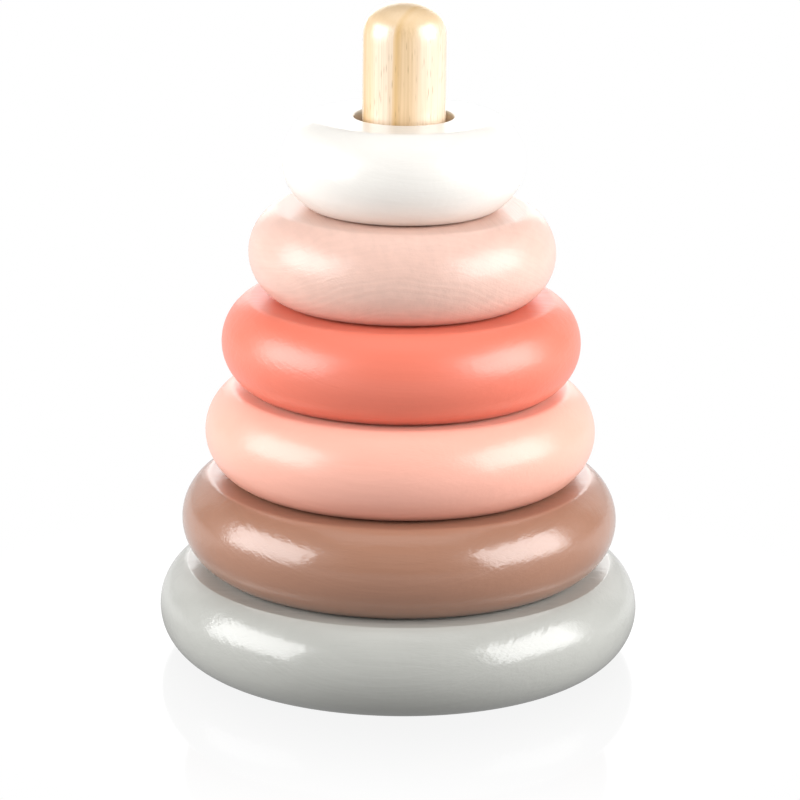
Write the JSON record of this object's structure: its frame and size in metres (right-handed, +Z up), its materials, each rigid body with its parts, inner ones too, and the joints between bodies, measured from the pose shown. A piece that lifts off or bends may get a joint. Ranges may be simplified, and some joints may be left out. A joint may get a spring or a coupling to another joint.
{
  "type": "stacking ring toy",
  "caption": "Wooden stacking ring toy: round-edged painted rings in graded sizes drop over a domed beech peg fixed in the widest disc, which is the base.",
  "frame": {"origin": "on the peg's axis, in the plane the base stands on", "axes": "+Z up along the peg; the toy is round about Z, so X and Y are free"},
  "size_m": [0.118, 0.118, 0.161],
  "materials": {
    "grey_paint": "pale grey enamel over beech, gloss",
    "lacquered_beech": "clear satin lacquer, vertical grain with ray flecks",
    "zinc_plate": "zinc plated",
    "bare_beech": "bare sanded beech",
    "brown_paint": "cocoa brown enamel over beech, gloss",
    "peach_paint": "peach enamel over beech, satin",
    "coral_paint": "coral enamel over beech, satin",
    "pale_pink_paint": "thin pale pink enamel over beech, satin",
    "white_paint": "white enamel over beech, satin"
  },
  "bodies": {
    "base": {"base_disc": "grey_paint", "peg": "lacquered_beech", "peg_screw": "zinc_plate", "screw_cover": "bare_beech"},
    "ring_brown": {"ring_brown": "brown_paint"},
    "ring_peach": {"ring_peach": "peach_paint"},
    "ring_coral": {"ring_coral": "coral_paint"},
    "ring_pale_pink": {"ring_pale_pink": "pale_pink_paint"},
    "ring_white": {"ring_white": "white_paint"}
  },
  "joints": [
    {"name": "lift_ring_brown", "type": "slide", "parent": "base", "child": "ring_brown", "axis": [0, 0, 1], "range_m": [0, 0.149]},
    {"name": "lift_ring_peach", "type": "slide", "parent": "ring_brown", "child": "ring_peach", "axis": [0, 0, 1], "range_m": [0, 0.126]},
    {"name": "lift_ring_coral", "type": "slide", "parent": "ring_peach", "child": "ring_coral", "axis": [0, 0, 1], "range_m": [0, 0.104]},
    {"name": "lift_ring_pale_pink", "type": "slide", "parent": "ring_coral", "child": "ring_pale_pink", "axis": [0, 0, 1], "range_m": [0, 0.082]},
    {"name": "lift_ring_white", "type": "slide", "parent": "ring_pale_pink", "child": "ring_white", "axis": [0, 0, 1], "range_m": [0, 0.06]}
  ]
}
